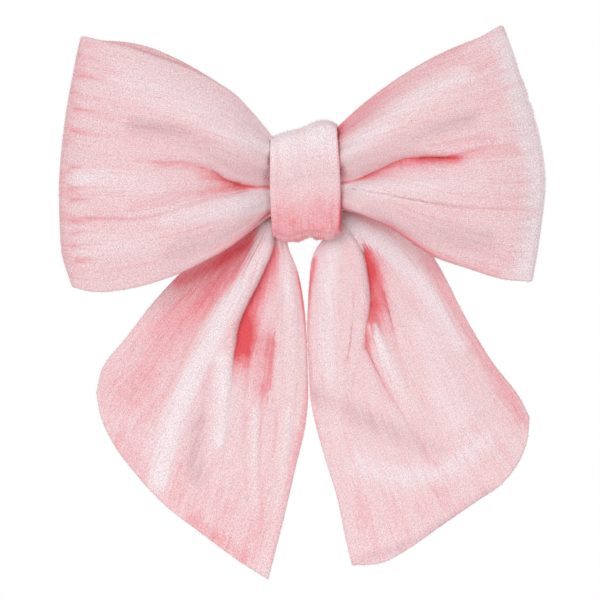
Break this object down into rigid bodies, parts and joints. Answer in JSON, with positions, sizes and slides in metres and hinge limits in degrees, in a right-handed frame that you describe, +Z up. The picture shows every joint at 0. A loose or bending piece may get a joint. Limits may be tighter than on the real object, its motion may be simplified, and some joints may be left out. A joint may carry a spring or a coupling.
{
  "type": "hair barrette",
  "caption": "Wide ribbon-bow hair barrette: gathered velvet loops, a centre knot and diagonal-cut tails over a sprung clip with a hinged clasp.",
  "frame": {"origin": "middle of the hair passage, between the tension bar and the clasp lever, on the bow's middle line", "axes": "upright as worn: the bow's front faces -Y and the clip is behind it at +Y; +X to the wearer's view right, towards the clip's hinge; +Z up, tails hang to -Z"},
  "size_m": [0.1204, 0.0396, 0.137],
  "materials": {
    "velvet": "pale pink crushed velvet with a fine crosswise streak, pile catching the light",
    "thread": "pink polyester sewing thread",
    "glue": "cloudy hot-melt adhesive",
    "nickel_steel": "nickel-plated pressed steel",
    "spring_steel": "bright spring steel strip"
  },
  "bodies": {
    "bow": {"bow_band": "velvet", "tails_pinch": "velvet", "knot_band": "velvet", "bow_gather_thread": "thread", "tail_gather_thread": "thread", "knot_seam_thread": "thread", "glue_bed": "glue", "clip_base_plate": "nickel_steel", "hinge_bracket": "nickel_steel", "hinge_rivet": "nickel_steel", "hinge_pin": "nickel_steel", "tension_bar_pin": "nickel_steel", "catch_base": "spring_steel", "catch_rivet": "nickel_steel"},
    "clasp": {"clasp_lever": "nickel_steel"},
    "hair_spring": {"tension_bar": "spring_steel"},
    "prong_upper": {"catch_prong_upper": "spring_steel"},
    "prong_lower": {"catch_prong_lower": "spring_steel"},
    "left_tail": {"tail_left": "velvet"},
    "right_tail": {"tail_right": "velvet"}
  },
  "joints": [
    {"name": "clasp_open", "type": "hinge", "parent": "bow", "child": "clasp", "pos_m": [0.02862, 0.00553, 0], "axis": [0, 0, -1], "range_deg": [0, 75]},
    {"name": "tension_bar_press", "type": "hinge", "parent": "bow", "child": "hair_spring", "pos_m": [0.02977, -0.0012, 0], "axis": [0, 0, 1], "range_deg": [0, 2], "stiffness_Nm_per_rad": 0.05},
    {"name": "catch_squeeze_upper", "type": "hinge", "parent": "bow", "child": "prong_upper", "pos_m": [-0.03015, -0.00345, 0.0022], "axis": [-0.9857, 0.1686, 0], "range_deg": [0, 6], "stiffness_Nm_per_rad": 0.02},
    {"name": "catch_squeeze_lower", "type": "hinge", "parent": "bow", "child": "prong_lower", "pos_m": [-0.03015, -0.00345, -0.0022], "axis": [0.9857, -0.1686, 0], "range_deg": [0, 6], "stiffness_Nm_per_rad": 0.02},
    {"name": "tail_left_swing", "type": "hinge", "parent": "bow", "child": "left_tail", "pos_m": [-0.008, -0.01221, -0.0135], "axis": [-1, 0, 0], "range_deg": [-20, 12], "stiffness_Nm_per_rad": 0.002},
    {"name": "tail_right_swing", "type": "hinge", "parent": "bow", "child": "right_tail", "pos_m": [0.008, -0.01221, -0.0135], "axis": [-1, 0, 0], "range_deg": [-20, 12], "stiffness_Nm_per_rad": 0.002}
  ],
  "couplings": [
    {"joint": "catch_squeeze_lower", "follows": "catch_squeeze_upper", "ratio": 1}
  ]
}
